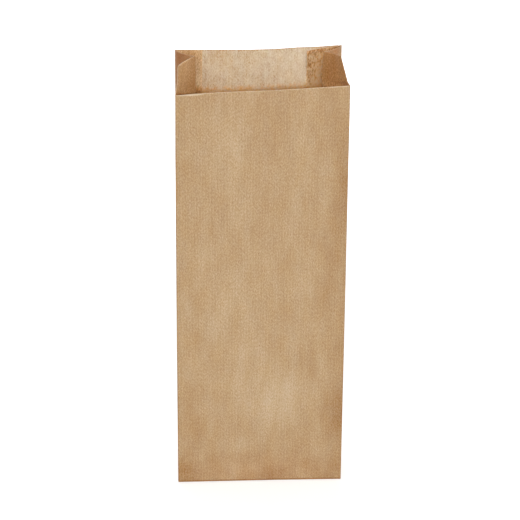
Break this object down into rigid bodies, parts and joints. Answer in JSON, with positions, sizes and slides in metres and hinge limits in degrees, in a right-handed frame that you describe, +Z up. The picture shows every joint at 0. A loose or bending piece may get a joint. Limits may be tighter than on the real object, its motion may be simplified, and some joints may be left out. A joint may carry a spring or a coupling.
{
  "type": "paper lunch bag",
  "caption": "Tall brown kraft paper lunch bag with side gussets, a front panel cut lower than the back and a squared block bottom, standing open.",
  "frame": {"origin": "under the middle of the bag's outer box, on the surface that it stands on", "axes": "+Z up through the open mouth, front panel towards -Y, +X to the right seen from the front"},
  "size_m": [0.1404, 0.0834, 0.3646],
  "materials": {
    "kraft_paper": "matte ribbed brown kraft paper"
  },
  "bodies": {
    "root": {"paper_bag": "kraft_paper"}
  },
  "joints": []
}
